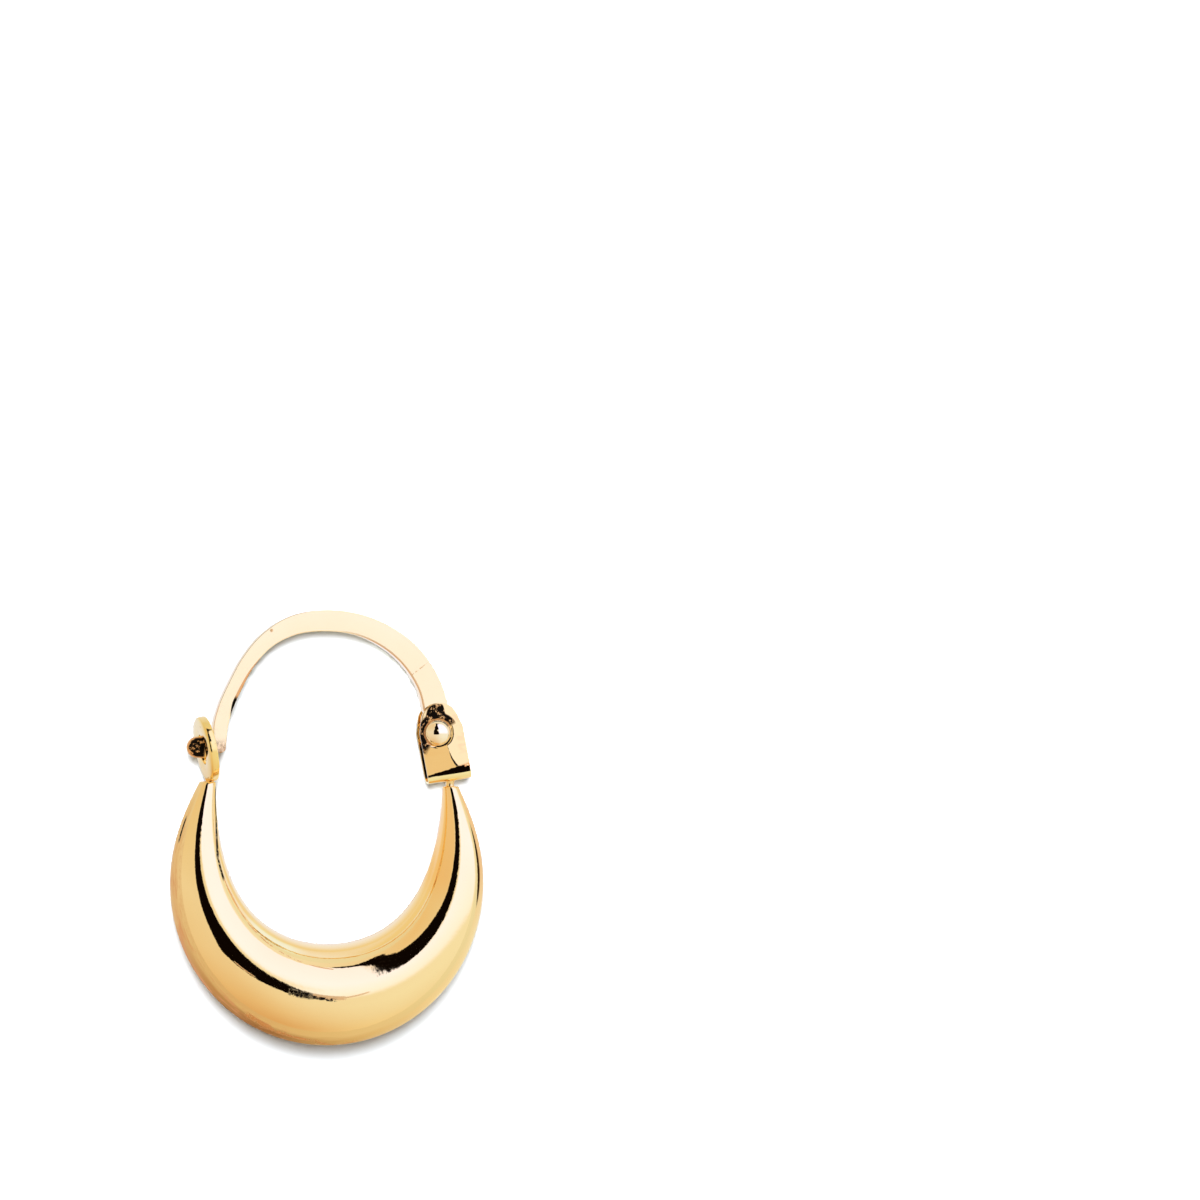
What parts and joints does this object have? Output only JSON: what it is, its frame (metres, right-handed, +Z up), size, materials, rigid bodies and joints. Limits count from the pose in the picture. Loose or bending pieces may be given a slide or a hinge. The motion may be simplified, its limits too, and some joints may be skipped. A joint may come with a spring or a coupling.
{
  "type": "hollow hoop earring",
  "caption": "Hollow crescent hoop earring of polished gold, with a hinged ear wire whose nib snaps into a catch disc.",
  "frame": {"origin": "on the surface that the earring lies on, under the middle of its box", "axes": "+X across the hoop from the catch disc to the hinge, +Y along the hoop from the crescent to the top of the ear wire, +Z up; the hoop lies on its side in its resting tilt, its front up"},
  "size_m": [0.0132, 0.018, 0.0046],
  "materials": {
    "hoop_gold": null,
    "rivet_gold": "polished yellow gold, domed by the riveting tool",
    "wire_gold": "polished yellow gold with fine filing marks along the strip"
  },
  "bodies": {
    "hoop": {"hoop": "hoop_gold", "hinge_rivet": "rivet_gold"},
    "ear_wire": {"ear_wire": "wire_gold"}
  },
  "joints": [
    {"name": "wire_hinge", "type": "hinge", "parent": "hoop", "child": "ear_wire", "pos_m": [0.00443, 0.004, 0.0008], "axis": [-0.0488, -0.1191, -0.9917], "range_deg": [0, 110]}
  ]
}
